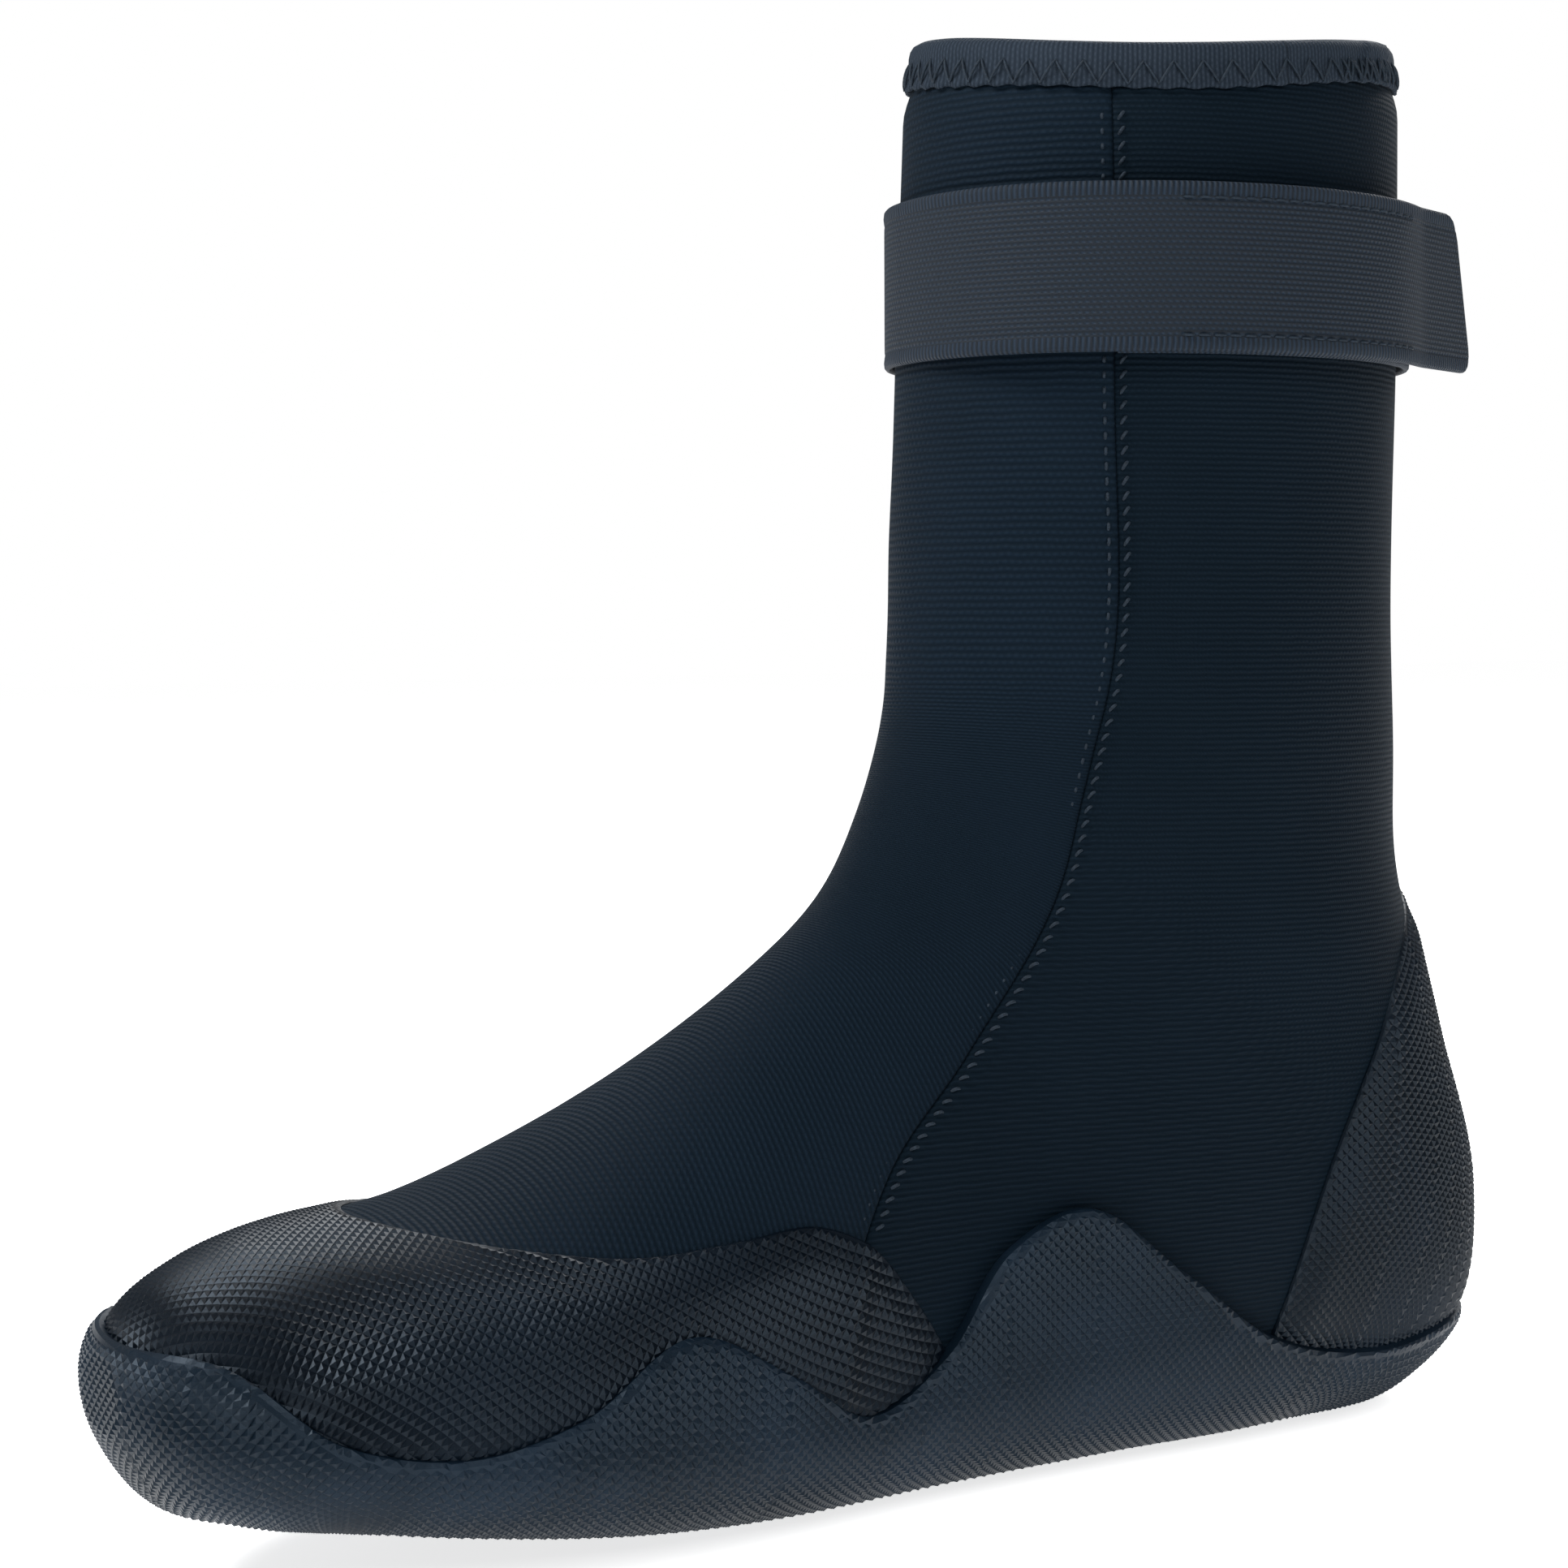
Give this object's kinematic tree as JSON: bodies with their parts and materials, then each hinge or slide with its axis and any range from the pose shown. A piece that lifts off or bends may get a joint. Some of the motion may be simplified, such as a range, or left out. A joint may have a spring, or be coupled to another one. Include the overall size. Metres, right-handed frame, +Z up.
{
  "type": "neoprene boot",
  "caption": "Ankle-high right-foot neoprene water-sports boot with rubber outsole, toe and heel caps, bound collar and a hook-and-loop ankle strap that swings open.",
  "frame": {"origin": "on the ground, under the middle of the shaft", "axes": "+Z up, the toe points to -Y, the heel to +Y, +X is the inner (medial) side of this right boot"},
  "size_m": [0.0982, 0.2859, 0.2685],
  "materials": {
    "neoprene": "nylon-knit-faced neoprene, dull",
    "insole_foam": "soft foam with a fabric top",
    "seam_tape": "flat stretch tape",
    "cap_rubber": "matt rubber with small raised diamonds",
    "outsole_rubber": "matt rubber with small raised diamonds",
    "thread": "polyester thread",
    "binding": "knitted elastic tape",
    "webbing": "woven nylon webbing",
    "loop_pile": "brushed loop pile",
    "hook_tape": "moulded hook tape"
  },
  "bodies": {
    "boot": {"front_panel": "neoprene", "back_panel": "neoprene", "sole_panel": "neoprene", "insole": "insole_foam", "seam_tape_medial": "seam_tape", "seam_tape_lateral": "seam_tape", "toe_cap": "cap_rubber", "heel_cap": "cap_rubber", "outsole": "outsole_rubber", "seam_stitch_medial": "thread", "seam_stitch_lateral": "thread", "collar_binding": "binding", "collar_stitch": "thread", "strap_anchor": "webbing", "loop_patch": "loop_pile", "anchor_stitch": "thread"},
    "strap_front": {"strap_front": "webbing"},
    "strap_end": {"strap_end": "webbing", "hook_patch": "hook_tape", "strap_end_stitch": "thread"}
  },
  "joints": [
    {"name": "strap_swing", "type": "hinge", "parent": "boot", "child": "strap_front", "pos_m": [-0.03995, -0.0219, 0.221], "axis": [0, 0, -1], "range_deg": [0, 60]},
    {"name": "strap_end_swing", "type": "hinge", "parent": "strap_front", "child": "strap_end", "pos_m": [0.03645, -0.03687, 0.221], "axis": [0, 0, -1], "range_deg": [0, 100]}
  ]
}
